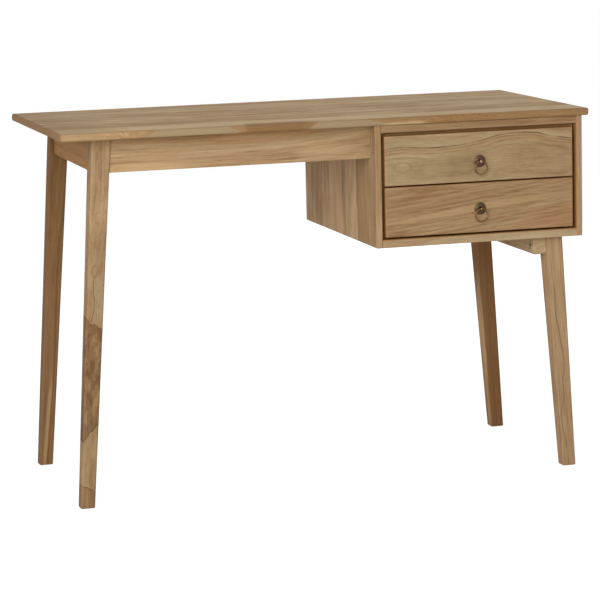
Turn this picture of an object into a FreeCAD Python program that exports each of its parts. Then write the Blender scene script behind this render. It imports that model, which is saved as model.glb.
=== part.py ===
"""A small teak desk: a tabletop, two long splayed legs on the left, and a two-drawer
cabinet on two short splayed legs on the right.

Frame: millimetres, +Z up, the front towards -Y. The origin is on the floor, under the
middle of the tabletop.
"""
import FreeCAD, Part
import os
import re

# Driving dimensions. Each is written once, and everything else follows from them.
SIZES = {
    # Tabletop
    "desk_width": 1100,
    "desk_depth": 510,
    "desk_height": 750,
    "top_thickness": 15,
    "top_edge_round": 4,
    # Legs: square and tapered. Insets run from the tabletop's ends, setbacks from its long edges.
    "leg_top_size": 39,
    "leg_foot_size": 29,
    "leg_edge_round": 4,
    "foot_edge_round": 2,
    "left_leg_top_inset": 89.5,
    "left_leg_foot_inset": 35,
    "left_leg_top_setback": 53,
    "right_leg_top_inset": 70.5,
    "right_leg_foot_inset": 37.5,
    "right_leg_top_setback": 41.5,
    "leg_foot_setback": 41.5,
    # Aprons and side rail, set in from the outer faces of the left legs
    "apron_height": 68.5,
    "apron_thickness": 20,
    "apron_inset": 5,
    "side_rail_inset": 4,
    "apron_edge_round": 2,
    # Corner blocks inside the left legs, measured along the apron
    "corner_block_gap": 1,
    "corner_block_width": 31,
    "corner_block_height": 45,
    # Cabinet
    "cabinet_width": 445.5,
    "cabinet_height": 248.5,
    "cabinet_right_inset": 13,
    "cabinet_front_inset": 6,
    "cabinet_rear_inset": 6,
    "panel_thickness": 13,
    "bottom_thickness": 16.5,
    "rail_thickness": 15.5,
    "rail_depth": 50,
    "back_thickness": 8,
    "panel_edge_round": 2,
    # Cleat that carries the right legs
    "cleat_thickness": 25.5,
    "cleat_height": 36,
    "cleat_edge_round": 4,
    # Drawer fronts and the dark gaps round them
    "reveal_side": 7.25,
    "reveal_top": 7.5,
    "reveal_between": 3,
    "reveal_bottom": 4,
    "front_thickness": 18,
    "front_recess": 2,
    "front_edge_round": 2,
    # Drawer boxes. Lift and drop are how far their boards stay inside the front's height.
    "drawer_side_thickness": 12,
    "drawer_side_lift": 3,
    "drawer_side_drop": 12,
    "drawer_back_drop": 6,
    "drawer_bottom_thickness": 5,
    "groove_depth": 5,
    "groove_height": 8,
    "groove_clearance": 0.1,
    "drawer_rear_gap": 0.5,
    # Runners, guides and kickers
    "running_gap": 0.3,
    "kicker_gap": 2,
    "guide_gap": 0.5,
    "guide_height": 20,
    "runner_setback": 3,
    "front_kicker_depth": 8,
    # Ring pulls
    "rosette_diameter": 25,
    "rosette_height": 3.5,
    "rosette_rim": 1,
    "rosette_seat_diameter": 10,
    "post_collar_diameter": 8.5,
    "post_collar_height": 1,
    "post_neck_diameter": 5,
    "post_head_diameter": 8,
    "post_shank_diameter": 4,
    "post_tail": 2.5,
    "eye_standoff": 8,
    "eye_diameter": 4,
    "ring_mean_diameter": 26,
    "ring_wire_diameter": 2.6,
    "pull_nut_width": 8,
    "pull_nut_height": 3.2,
    "upper_pull_drop": 9,
    "lower_pull_drop": 2,
    # Screws
    "hole_clearance": 0.1,
    "screw_diameter": 4.5,
    "screw_head_diameter": 9,
    "screw_head_height": 3,
    "screw_bite": 10,
    "screw_counterbore_clearance": 1,
    "rail_screw_margin": 90,
    "cleat_screw_seat": 20,
    "cleat_screw_spacing": 130,
    "apron_screw_bite": 40,
    "apron_screw_spacing": 19,
    "back_screw_bite": 17,
    "back_screw_margin": 37,
    # Bolts, washers and threaded inserts of the right legs
    "bolt_diameter": 8,
    "bolt_head_diameter": 13,
    "bolt_head_height": 8,
    "bolt_recess": 1.4,
    "bolt_bite": 26,
    "bolt_counterbore_clearance": 0.5,
    "socket_width": 6,
    "socket_depth": 4,
    "washer_diameter": 16,
    "washer_thickness": 1.6,
    "insert_diameter": 12,
    "insert_length": 18,
    "insert_depth": 3,
    # Hanger bolts of the left legs
    "hanger_bite": 20,
    "hanger_tail": 4,
    "hanger_nut_width": 13,
    "hanger_nut_height": 6.5,
    # Dowels
    "dowel_diameter": 6,
    "dowel_length": 28,
    "dowel_panel_bite": 8,
    "drawer_dowel_margin": 15,
    "rail_dowel_spacing": 24,
    "bottom_dowel_spacing": 180,
}

# Places and sizes that follow from the driving dimensions
PLACES = {
    "half_width": "desk_width / 2",
    "half_depth": "desk_depth / 2",
    "underside": "desk_height - top_thickness",
    # Cabinet
    "cabinet_right": "half_width - cabinet_right_inset",
    "cabinet_left": "cabinet_right - cabinet_width",
    "cabinet_middle": "cabinet_right - cabinet_width / 2",
    "cabinet_front": "cabinet_front_inset - half_depth",
    "cabinet_rear": "half_depth - cabinet_rear_inset",
    "cabinet_base": "underside - cabinet_height",
    "inner_left": "cabinet_left + panel_thickness",
    "inner_right": "cabinet_right - panel_thickness",
    "inner_floor": "cabinet_base + bottom_thickness",
    "inner_rear": "cabinet_rear - back_thickness",
    "rail_underside": "underside - rail_thickness",
    "rail_middle": "underside - rail_thickness / 2",
    "bottom_middle": "cabinet_base + bottom_thickness / 2",
    "front_rail_middle": "cabinet_front + rail_depth / 2",
    "rear_rail_middle": "inner_rear - rail_depth / 2",
    # Legs: centres at the top and at the foot, as distances from the middle
    "left_top_x": "left_leg_top_inset - half_width",
    "left_foot_x": "left_leg_foot_inset - half_width",
    "left_top_y": "half_depth - left_leg_top_setback",
    "right_top_x": "half_width - right_leg_top_inset",
    "right_foot_x": "half_width - right_leg_foot_inset",
    "right_top_y": "half_depth - right_leg_top_setback",
    "foot_y": "half_depth - leg_foot_setback",
    # Aprons and side rail, cut to the slope of the left legs' inner faces
    "apron_base": "underside - apron_height",
    "apron_slope": "apron_height / underside",
    "apron_face": "left_top_y + leg_top_size / 2 - apron_inset",
    "apron_back": "apron_face - apron_thickness",
    "apron_middle": "apron_face - apron_thickness / 2",
    "side_rail_face": "left_top_x - leg_top_size / 2 + side_rail_inset",
    "side_rail_back": "side_rail_face + apron_thickness",
    "leg_inner_top": "left_top_x + leg_top_size / 2",
    "leg_inner_foot": "left_foot_x + leg_foot_size / 2",
    "leg_inner_apron": "leg_inner_top - (leg_inner_top - leg_inner_foot) * apron_slope",
    "leg_back_top": "left_top_y - leg_top_size / 2",
    "leg_back_foot": "foot_y - leg_foot_size / 2",
    "leg_back_apron": "leg_back_top - (leg_back_top - leg_back_foot) * apron_slope",
    # Corner blocks, which start just clear of the leg's inner edge. Near and far are distances
    # along the diagonal from the inner corner of apron and side rail.
    "leg_reach": "leg_inner_top - side_rail_back + apron_back - leg_back_top",
    "block_start": "leg_reach + corner_block_gap",
    "block_near": "block_start / sqrt(2)",
    "block_far": "(block_start + corner_block_width) / sqrt(2)",
    "block_line": "block_start + corner_block_width / 2",
    "block_base": "underside - corner_block_height",
    "block_middle": "underside - corner_block_height / 2",
    # Cleat, cut to the slope of the right legs' inner faces
    "cleat_base": "cabinet_base - cleat_height",
    "cleat_middle": "cabinet_base - cleat_height / 2",
    "cleat_outer": "right_top_x - leg_top_size / 2",
    "cleat_outer_foot": "right_foot_x - leg_foot_size / 2",
    "cleat_outer_base": "cleat_outer + (cleat_outer_foot - cleat_outer) * cleat_height / cabinet_base",
    "cleat_inner": "cleat_outer - cleat_thickness",
    "cleat_centre": "cleat_outer - cleat_thickness / 2",
    "cleat_end": "right_top_y + leg_top_size / 2",
    "cleat_seat": "cabinet_base - cleat_screw_seat",
    "bolt_y": "right_top_y + (foot_y - right_top_y) * cleat_height / 2 / cabinet_base",
    "bolt_shoulder": "cleat_inner + bolt_recess + bolt_head_height",
    "bolt_seat": "bolt_shoulder + washer_thickness",
    "insert_start": "cleat_outer_base + insert_depth",
    # Drawers
    "front_left": "inner_left + reveal_side",
    "front_right": "inner_right - reveal_side",
    "front_height": "(rail_underside - inner_floor - reveal_top - reveal_between - reveal_bottom) / 2",
    "front_face": "cabinet_front + front_recess",
    "front_back": "front_face + front_thickness",
    "lower_base": "inner_floor + reveal_bottom",
    "upper_base": "lower_base + front_height + reveal_between",
    "side_height": "front_height - drawer_side_lift - drawer_side_drop",
    "side_rear": "inner_rear - drawer_rear_gap",
    "box_left": "front_left + drawer_side_thickness",
    "box_right": "front_right - drawer_side_thickness",
    "box_rear": "side_rear - drawer_side_thickness",
    "groove_reach": "groove_depth + groove_clearance",
    # The ball that the rosette's dome is part of, through its rim and the edge of its seat
    "dome_spread": "(rosette_diameter ^ 2 - rosette_seat_diameter ^ 2) / 4",
    "dome_centre": "(rosette_rim + rosette_height - dome_spread / (rosette_height - rosette_rim)) / 2",
    "dome_radius": "sqrt(rosette_diameter ^ 2 / 4 + (rosette_rim - dome_centre) ^ 2)",
    # Runners, guides and kickers
    "runner_front": "front_back + runner_setback",
    "front_kicker_back": "runner_front + front_kicker_depth",
    "front_rail_screw_y": "(front_kicker_back + cabinet_front + rail_depth) / 2",
    "runner_width": "reveal_side + drawer_side_thickness",
    "guide_width": "reveal_side - guide_gap",
    "lower_runner_top": "lower_base + drawer_side_lift - running_gap",
    "upper_runner_top": "upper_base + drawer_side_lift - running_gap",
    "lower_sides_clear": "lower_base + drawer_side_lift + side_height + kicker_gap",
    "upper_sides_clear": "upper_base + drawer_side_lift + side_height + kicker_gap",
    # Screws from the cabinet's left side into the aprons, below the kicker
    "apron_screw_high": "upper_sides_clear - screw_head_diameter",
    "apron_screw_low": "apron_screw_high - apron_screw_spacing",
}

SCREW_HOLE = "screw_diameter + 2 * hole_clearance"
SCREW_COUNTERBORE = "screw_head_diameter + 2 * screw_counterbore_clearance"
DOWEL_HOLE = "dowel_diameter + 2 * hole_clearance"
BOLT_HOLE = "bolt_diameter + 2 * hole_clearance"
BOLT_COUNTERBORE = "washer_diameter + 2 * bolt_counterbore_clearance"
WASHER_HOLE = "bolt_diameter + 4 * hole_clearance"
POST_HOLE = "post_shank_diameter + 2 * hole_clearance"

ZERO = FreeCAD.Vector(0, 0, 0)
RIGHT = FreeCAD.Vector(1, 0, 0)
LEFT = FreeCAD.Vector(-1, 0, 0)
REARWARD = FreeCAD.Vector(0, 1, 0)
FORWARD = FreeCAD.Vector(0, -1, 0)
UP = FreeCAD.Vector(0, 0, 1)

doc = FreeCAD.newDocument("desk_with_drawers")
sheet = doc.addObject("Spreadsheet::Sheet", "sizes")
for row, (size_name, size_value) in enumerate(SIZES.items(), start=1):
    sheet.set(f"A{row}", size_name.replace("_", " "))
    sheet.set(f"B{row}", str(size_value))
    sheet.setAlias(f"B{row}", size_name)
doc.recompute()

pieces = []


# Binding features to the sheet
def formula(text):
    """Spell out a sum of named sizes and places as an expression on the sheet."""
    def spell(match):
        name = match.group()
        if name in SIZES:
            return f"sizes.{name}"
        if name in PLACES:
            return f"({formula(PLACES[name])})"
        return name
    return re.sub(r"[a-z][a-z_]+", spell, text)


def bind(feature, **values):
    """Bind properties of a feature to formulas."""
    for name, text in values.items():
        feature.setExpression(name, formula(text))


def put(feature, place, rotation=None):
    """Place a feature by three formulas, turned by a fixed rotation."""
    if rotation is not None:
        feature.Placement = FreeCAD.Placement(ZERO, rotation)
    for axis, text in zip("xyz", place):
        feature.setExpression(f"Placement.Base.{axis}", formula(text))


def along(place, direction, distance):
    """The point at a distance from a place, in a direction of length one."""
    return tuple(f"{text} + {step} * ({distance})" for text, step in zip(place, direction))


def towards(direction):
    """The rotation that turns a round solid's own axis to a direction."""
    return FreeCAD.Rotation(UP, direction)


# Shapes of single pieces
def new_body(label):
    body = doc.addObject("PartDesign::Body", label)
    body.Label = label
    pieces.append(body)
    return body


def box_in(body, kind, x, y, z):
    """Add or cut a box between low and high formulas along each axis."""
    feature = body.newObject(f"PartDesign::{kind}Box", f"{body.Name}_box")
    bind(feature, Length=f"{x[1]} - ({x[0]})", Width=f"{y[1]} - ({y[0]})", Height=f"{z[1]} - ({z[0]})")
    put(feature, (x[0], y[0], z[0]))


def board(label, x, y, z):
    """A rectangular board."""
    body = new_body(label)
    box_in(body, "Additive", x, y, z)
    return body


def tapered(label, base, top, rise):
    """A straight-sided block from a base to a top rectangle, each (x low, x high, y low, y high)."""
    body = new_body(label)
    wedge = body.newObject("PartDesign::AdditiveWedge", f"{label}_wedge")
    wedge.Placement = FreeCAD.Placement(ZERO, FreeCAD.Rotation(RIGHT, 90))
    bind(wedge, Xmin=base[0], Xmax=base[1], Zmin=f"-({base[3]})", Zmax=f"-({base[2]})",
         X2min=top[0], X2max=top[1], Z2min=f"-({top[3]})", Z2max=f"-({top[2]})",
         Ymin=rise[0], Ymax=rise[1])
    return body


def turned(label, place):
    """An empty body for a turned piece, whose own axis points forward from a place on a drawer front."""
    body = new_body(label)
    put(body, place, towards(FORWARD))
    return body


def disc(body, diameter, low, high):
    """Add a cylinder on the axis of a turned piece."""
    cylinder = body.newObject("PartDesign::AdditiveCylinder", f"{body.Name}_disc")
    bind(cylinder, Radius=f"({diameter}) / 2", Height=f"{high} - ({low})")
    put(cylinder, ("0", "0", low))


def ball(body, radius, centre, latitudes=("-90", "90")):
    """Add a ball on the axis of a turned piece, or the slice of one between two latitudes."""
    sphere = body.newObject("PartDesign::AdditiveSphere", f"{body.Name}_ball")
    bind(sphere, Radius=radius, Angle1=latitudes[0], Angle2=latitudes[1])
    put(sphere, ("0", "0", centre))


def extent(shape):
    """The box round a shape's corners."""
    box = FreeCAD.BoundBox()
    for vertex in shape.Vertexes:
        box.add(vertex.Point)
    return box


def ease(body, radius, chosen):
    """Round the edges that the test picks from their own box and the body's box."""
    doc.recompute()
    base = body.Tip
    whole = extent(base.Shape)
    names = []
    for number, edge in enumerate(base.Shape.Edges, start=1):
        if chosen(extent(edge), whole):
            names.append(f"Edge{number}")
    fillet = body.newObject("PartDesign::Fillet", f"{body.Name}_eased")
    fillet.Base = (base, names)
    bind(fillet, Radius=radius)


# An edge this close to a plane counts as lying in it
TOUCH = 0.01


def every_edge(edge, whole):
    return True


def long_upright_edges(edge, whole):
    return edge.ZLength > whole.ZLength / 2


def bottom_edges(edge, whole):
    return edge.ZMax - whole.ZMin < TOUCH


def lengthwise_bottom_edges(edge, whole):
    return bottom_edges(edge, whole) and edge.XLength + edge.YLength > (whole.XLength + whole.YLength) / 2


def front_edges(edge, whole):
    return edge.YMax - whole.YMin < TOUCH and edge.XLength > whole.XLength / 2


def all_but_top_edges(edge, whole):
    return whole.ZMax - edge.ZMin > TOUCH


def exposed_cleat_edges(edge, whole):
    on_inner_face = edge.XMax - whole.XMin < TOUCH
    on_end = edge.YLength < TOUCH and edge.ZLength < TOUCH and bottom_edges(edge, whole)
    return on_end or on_inner_face and all_but_top_edges(edge, whole)


def bore(body, place, direction, diameter, length):
    """Drill a round hole into a body, from a place along a direction."""
    hole = body.newObject("PartDesign::SubtractiveCylinder", f"{body.Name}_hole")
    bind(hole, Radius=f"({diameter}) / 2", Height=length)
    put(hole, place, towards(direction))


# Shapes of fasteners
def rod(place, direction, diameter, length):
    solid = doc.addObject("Part::Cylinder", "rod")
    bind(solid, Radius=f"({diameter}) / 2", Height=length)
    put(solid, place, towards(direction))
    return solid


def hexagon(place, direction, width, length):
    """A six-sided rod of a width across its flats."""
    solid = doc.addObject("Part::Prism", "hexagon")
    solid.Polygon = 6
    bind(solid, Circumradius=f"({width}) / sqrt(3)", Height=length)
    put(solid, place, towards(direction))
    return solid


def joined(first, second):
    solid = doc.addObject("Part::Fuse", "joined")
    solid.Base = first
    solid.Tool = second
    return solid


def pierced(first, second):
    solid = doc.addObject("Part::Cut", "pierced")
    solid.Base = first
    solid.Tool = second
    return solid


def washer(place, direction):
    return pierced(rod(place, direction, "washer_diameter", "washer_thickness"),
                   rod(place, direction, WASHER_HOLE, "washer_thickness"))


def screw(seat, direction, length):
    """A screw whose round head bears on the seat and whose shank runs in the direction."""
    shank = rod(seat, direction, "screw_diameter", length)
    head_top = along(seat, direction, "-screw_head_height")
    head = rod(head_top, direction, "screw_head_diameter", "screw_head_height")
    return joined(shank, head)


def group(label, solids):
    """One node for a set of separate, identical fasteners."""
    compound = doc.addObject("Part::Compound", label)
    compound.Label = label
    compound.Links = solids
    pieces.append(compound)


# Tabletop
tabletop = board("tabletop", ("-half_width", "half_width"), ("-half_depth", "half_depth"),
                 ("underside", "desk_height"))
ease(tabletop, "top_edge_round", every_edge)


# Legs
def leg(label, foot, top, height):
    """A square leg that tapers to its foot, with rounded long edges and an eased foot."""
    def square(centre, size):
        x, y = centre
        return (f"{x} - {size} / 2", f"{x} + {size} / 2", f"{y} - {size} / 2", f"{y} + {size} / 2")
    body = tapered(label, square(foot, "leg_foot_size"), square(top, "leg_top_size"), ("0", height))
    ease(body, "leg_edge_round", long_upright_edges)
    ease(body, "foot_edge_round", bottom_edges)
    return body


SIGN_OF_END = {"front": "-", "rear": ""}
left_legs = {}
right_legs = {}
for end, sign in SIGN_OF_END.items():
    left_legs[end] = leg(f"left_{end}_leg", ("left_foot_x", f"{sign}foot_y"),
                         ("left_top_x", f"{sign}left_top_y"), "underside")
    right_legs[end] = leg(f"right_{end}_leg", ("right_foot_x", f"{sign}foot_y"),
                          ("right_top_x", f"{sign}right_top_y"), "cabinet_base")

# Aprons and side rail
APRON_DEPTHS = {"front": ("-apron_face", "-apron_back"), "rear": ("apron_back", "apron_face")}
APRON_RISE = ("apron_base", "underside")
aprons = {}
for end, depth in APRON_DEPTHS.items():
    aprons[end] = tapered(f"{end}_apron", ("leg_inner_apron", "cabinet_left", *depth),
                          ("leg_inner_top", "cabinet_left", *depth), APRON_RISE)
    ease(aprons[end], "apron_edge_round", lengthwise_bottom_edges)
side_rail = tapered("left_side_rail",
                    ("side_rail_face", "side_rail_back", "-leg_back_apron", "leg_back_apron"),
                    ("side_rail_face", "side_rail_back", "-leg_back_top", "leg_back_top"), APRON_RISE)
ease(side_rail, "apron_edge_round", lengthwise_bottom_edges)

# Corner blocks behind the left legs, each with a hanger bolt into its leg
INWARD = {"front": FreeCAD.Vector(1, 1, 0).normalize(), "rear": FreeCAD.Vector(1, -1, 0).normalize()}
hanger_bolts = []
hanger_nuts = []
washers = []
tabletop_screws = []
TABLETOP_SCREW_LENGTH = "rail_thickness + screw_bite"
for end, inward in INWARD.items():
    block = new_body(f"{end}_corner_block")
    wedge = block.newObject("PartDesign::AdditiveWedge", f"{end}_corner_block_wedge")
    bind(wedge, Xmin="-block_near", Xmax="block_near", X2min="-block_far", X2max="block_far",
         Ymin="block_near", Ymax="block_far",
         Zmin="0", Zmax="corner_block_height", Z2min="0", Z2max="corner_block_height")
    put(wedge, ("side_rail_back", f"{SIGN_OF_END[end]}apron_back", "block_base"),
        FreeCAD.Rotation(REARWARD, inward))

    corner = ("side_rail_back", f"{SIGN_OF_END[end]}apron_back", "block_middle")
    bolt_tip = along(corner, inward, "-hanger_bite")
    washer_seat = along(corner, inward, "block_far")
    nut_seat = along(corner, inward, "block_far + washer_thickness")
    bore(left_legs[end], along(corner, inward, "-hanger_bite - hole_clearance"), inward, BOLT_HOLE,
         "hanger_bite + block_near")
    bore(block, corner, inward, BOLT_HOLE, "block_far * 2")
    hanger_bolts.append(rod(bolt_tip, inward, "bolt_diameter",
                            "hanger_bite + block_far + washer_thickness + hanger_nut_height + hanger_tail"))
    hanger_nuts.append(pierced(hexagon(nut_seat, inward, "hanger_nut_width", "hanger_nut_height"),
                               rod(nut_seat, inward, BOLT_HOLE, "hanger_nut_height")))
    washers.append(washer(washer_seat, inward))

    screw_x = "side_rail_back + block_line * 3 / 4"
    screw_y = f"{SIGN_OF_END[end]}(apron_back - block_line / 4)"
    bore(block, (screw_x, screw_y, "block_base"), UP, SCREW_COUNTERBORE,
         "corner_block_height - rail_thickness")
    bore(block, (screw_x, screw_y, "block_base"), UP, SCREW_HOLE, "corner_block_height")
    tabletop_screws.append((screw_x, screw_y))
group("hanger_bolts", hanger_bolts)
group("hanger_nuts", hanger_nuts)

# Cabinet
CABINET_DEPTH = ("cabinet_front", "cabinet_rear")
CABINET_RISE = ("cabinet_base", "underside")
INNER_SPAN = ("inner_left", "inner_right")
RAIL_RISE = ("rail_underside", "underside")
left_side = board("cabinet_left_side", ("cabinet_left", "inner_left"), CABINET_DEPTH, CABINET_RISE)
right_side = board("cabinet_right_side", ("inner_right", "cabinet_right"), CABINET_DEPTH, CABINET_RISE)
bottom = board("cabinet_bottom", INNER_SPAN, ("cabinet_front", "inner_rear"), ("cabinet_base", "inner_floor"))
front_rail = board("cabinet_front_rail", INNER_SPAN, ("cabinet_front", "cabinet_front + rail_depth"),
                   RAIL_RISE)
rear_rail = board("cabinet_rear_rail", INNER_SPAN, ("inner_rear - rail_depth", "inner_rear"), RAIL_RISE)
back = board("cabinet_back", INNER_SPAN, ("inner_rear", "cabinet_rear"), CABINET_RISE)
for panel in (left_side, right_side):
    ease(panel, "panel_edge_round", all_but_top_edges)
for panel in (bottom, front_rail):
    ease(panel, "panel_edge_round", front_edges)

# Screws that hold the tabletop: through the rails and the corner blocks
for rail, rail_y in ((front_rail, "front_rail_screw_y"), (rear_rail, "rear_rail_middle")):
    for rail_x in ("inner_left + rail_screw_margin", "inner_right - rail_screw_margin"):
        bore(rail, (rail_x, rail_y, "rail_underside"), UP, SCREW_HOLE, "rail_thickness")
        tabletop_screws.append((rail_x, rail_y))
for screw_x, screw_y in tabletop_screws:
    bore(tabletop, (screw_x, screw_y, "underside"), UP, SCREW_HOLE, "screw_bite + hole_clearance")
group("tabletop_screws",
      [screw((x, y, "rail_underside"), UP, TABLETOP_SCREW_LENGTH) for x, y in tabletop_screws])

# Screws from inside the cabinet into the ends of the aprons
apron_screws = []
APRON_SCREW_LENGTH = "panel_thickness + apron_screw_bite"
for end, apron in aprons.items():
    for height in ("apron_screw_low", "apron_screw_high"):
        seat = ("inner_left", f"{SIGN_OF_END[end]}apron_middle", height)
        for pierced_piece in (left_side, apron):
            bore(pierced_piece, seat, LEFT, SCREW_HOLE, f"{APRON_SCREW_LENGTH} + hole_clearance")
        apron_screws.append(screw(seat, LEFT, APRON_SCREW_LENGTH))
group("apron_screws", apron_screws)

# Screws through the back panel into the bottom and the rear rail
back_screws = []
BACK_SCREW_LENGTH = "back_thickness + back_screw_bite"
for height, behind in (("bottom_middle", bottom), ("rail_middle", rear_rail)):
    for across in ("inner_left + back_screw_margin", "cabinet_middle", "inner_right - back_screw_margin"):
        seat = (across, "cabinet_rear", height)
        for pierced_piece in (back, behind):
            bore(pierced_piece, seat, FORWARD, SCREW_HOLE, f"{BACK_SCREW_LENGTH} + hole_clearance")
        back_screws.append(screw(seat, FORWARD, BACK_SCREW_LENGTH))
group("back_panel_screws", back_screws)

# Dowels between the cabinet's sides and its bottom and rails
dowels = []
dowel_rows = []
for step in ("-bottom_dowel_spacing", "0", "bottom_dowel_spacing"):
    dowel_rows.append((bottom, "bottom_middle", step))
for rail, rail_y in ((front_rail, "front_rail_middle"), (rear_rail, "rear_rail_middle")):
    for side_step in ("- rail_dowel_spacing / 2", "+ rail_dowel_spacing / 2"):
        dowel_rows.append((rail, "rail_middle", f"{rail_y} {side_step}"))
for crosspiece, height, depth in dowel_rows:
    for panel, start, direction in ((left_side, "inner_left - dowel_panel_bite", RIGHT),
                                    (right_side, "inner_right + dowel_panel_bite", LEFT)):
        place = (start, depth, height)
        for pierced_piece in (panel, crosspiece):
            bore(pierced_piece, along(place, direction, "-hole_clearance"), direction, DOWEL_HOLE,
                 "dowel_length + 2 * hole_clearance")
        dowels.append(rod(place, direction, "dowel_diameter", "dowel_length"))
group("cabinet_dowels", dowels)

# Cleat under the cabinet, with a bolt into each right leg
cleat = tapered("leg_cleat", ("cleat_inner", "cleat_outer_base", "-cleat_end", "cleat_end"),
                ("cleat_inner", "cleat_outer", "-cleat_end", "cleat_end"), ("cleat_base", "cabinet_base"))
ease(cleat, "cleat_edge_round", exposed_cleat_edges)
leg_bolts = []
inserts = []
for end, sign in SIGN_OF_END.items():
    across = (f"{sign}bolt_y", "cleat_middle")
    bore(cleat, ("cleat_inner", *across), RIGHT, BOLT_COUNTERBORE, "bolt_seat - cleat_inner")
    bore(cleat, ("cleat_inner", *across), RIGHT, BOLT_HOLE, "cleat_thickness * 2")
    bore(right_legs[end], ("cleat_centre", *across), RIGHT, BOLT_HOLE,
         "cleat_outer_base + bolt_bite + hole_clearance - cleat_centre")
    bore(right_legs[end], ("cleat_centre", *across), RIGHT, "insert_diameter + 2 * hole_clearance",
         "insert_start + insert_length - cleat_centre")
    shank = rod(("bolt_shoulder", *across), RIGHT, "bolt_diameter",
                "cleat_outer_base + bolt_bite - bolt_shoulder")
    head = rod(("bolt_shoulder - bolt_head_height", *across), RIGHT, "bolt_head_diameter", "bolt_head_height")
    socket = hexagon(("bolt_shoulder - bolt_head_height", *across), RIGHT, "socket_width", "socket_depth")
    leg_bolts.append(pierced(joined(shank, head), socket))
    washers.append(washer(("bolt_shoulder", *across), RIGHT))
    inserts.append(pierced(rod(("insert_start", *across), RIGHT, "insert_diameter", "insert_length"),
                           rod(("insert_start", *across), RIGHT, BOLT_HOLE, "insert_length")))
group("leg_bolts", leg_bolts)
group("leg_bolt_washers", washers)
group("leg_bolt_inserts", inserts)

cleat_screws = []
CLEAT_SCREW_LENGTH = "cleat_screw_seat + screw_bite"
for depth in ("-cleat_screw_spacing", "0", "cleat_screw_spacing"):
    seat = ("cleat_centre", depth, "cleat_seat")
    bore(cleat, ("cleat_centre", depth, "cleat_base"), UP, SCREW_COUNTERBORE,
         "cleat_seat - cleat_base")
    for pierced_piece in (cleat, bottom):
        bore(pierced_piece, seat, UP, SCREW_HOLE, f"{CLEAT_SCREW_LENGTH} + hole_clearance")
    cleat_screws.append(screw(seat, UP, CLEAT_SCREW_LENGTH))
group("cleat_screws", cleat_screws)

# Runners, guides and kickers along the cabinet's sides, and a kicker across under the front rail
STRIP_DEPTH = ("runner_front", "inner_rear")
STRIPS = {
    "lower_runner": ("runner_width", "inner_floor", "lower_runner_top"),
    "upper_runner": ("runner_width", "lower_sides_clear", "upper_runner_top"),
    "lower_guide": ("guide_width", "lower_runner_top", "lower_runner_top + guide_height"),
    "upper_guide": ("guide_width", "upper_runner_top", "upper_runner_top + guide_height"),
    "kicker": ("runner_width", "upper_sides_clear", "rail_underside"),
}
for strip, (width, low, high) in STRIPS.items():
    board(f"{strip}_left", ("inner_left", f"inner_left + {width}"), STRIP_DEPTH, (low, high))
    board(f"{strip}_right", (f"inner_right - {width}", "inner_right"), STRIP_DEPTH, (low, high))
board("kicker_front", ("inner_left + runner_width", "inner_right - runner_width"),
      ("runner_front", "front_kicker_back"), ("upper_sides_clear", "rail_underside"))


# Drawers with their ring pulls
def drawer(level, base, pull_drop):
    """A drawer box behind an inset front."""
    side_base = f"{base} + drawer_side_lift"
    side_top = f"{side_base} + side_height"
    panel_low = f"{side_base} + groove_height"
    panel_high = f"{panel_low} + drawer_bottom_thickness"
    groove_rise = (f"{panel_low} - groove_clearance", f"{panel_high} + groove_clearance")
    side_run = ("front_back", "side_rear")

    front = board(f"{level}_drawer_front", ("front_left", "front_right"), ("front_face", "front_back"),
                  (base, f"{base} + front_height"))
    ease(front, "front_edge_round", every_edge)
    left = board(f"{level}_drawer_left_side", ("front_left", "box_left"), side_run, (side_base, side_top))
    right = board(f"{level}_drawer_right_side", ("box_right", "front_right"), side_run, (side_base, side_top))
    rear = board(f"{level}_drawer_back", ("box_left", "box_right"), ("box_rear", "side_rear"),
                 (panel_high, f"{side_top} - drawer_back_drop"))
    board(f"{level}_drawer_bottom", ("box_left - groove_depth", "box_right + groove_depth"),
          ("front_back - groove_depth", "side_rear"), (panel_low, panel_high))
    box_in(front, "Subtractive", ("box_left - groove_reach", "box_right + groove_reach"),
           ("front_back - groove_reach", "front_back"), groove_rise)
    box_in(left, "Subtractive", ("box_left - groove_reach", "box_left"), side_run, groove_rise)
    box_in(right, "Subtractive", ("box_right", "box_right + groove_reach"), side_run, groove_rise)

    pins = []
    for height in (f"{panel_high} + drawer_dowel_margin",
                   f"{side_top} - drawer_back_drop - drawer_dowel_margin"):
        for side, middle in ((left, "front_left + drawer_side_thickness / 2"),
                             (right, "front_right - drawer_side_thickness / 2")):
            pins.append(((front, side), (middle, "front_back - dowel_panel_bite", height), REARWARD))
        rear_middle = "side_rear - drawer_side_thickness / 2"
        pins.append(((left, rear), ("box_left - dowel_panel_bite", rear_middle, height), RIGHT))
        pins.append(((right, rear), ("box_right + dowel_panel_bite", rear_middle, height), LEFT))
    for pierced_pieces, place, direction in pins:
        for pierced_piece in pierced_pieces:
            bore(pierced_piece, along(place, direction, "-hole_clearance"), direction, DOWEL_HOLE,
                 "dowel_length + 2 * hole_clearance")
    group(f"{level}_drawer_dowels",
          [rod(place, direction, "dowel_diameter", "dowel_length") for _, place, direction in pins])
    ring_pull(level, front, ("cabinet_middle", "front_face", f"{base} + front_height / 2 - {pull_drop}"))


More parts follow.
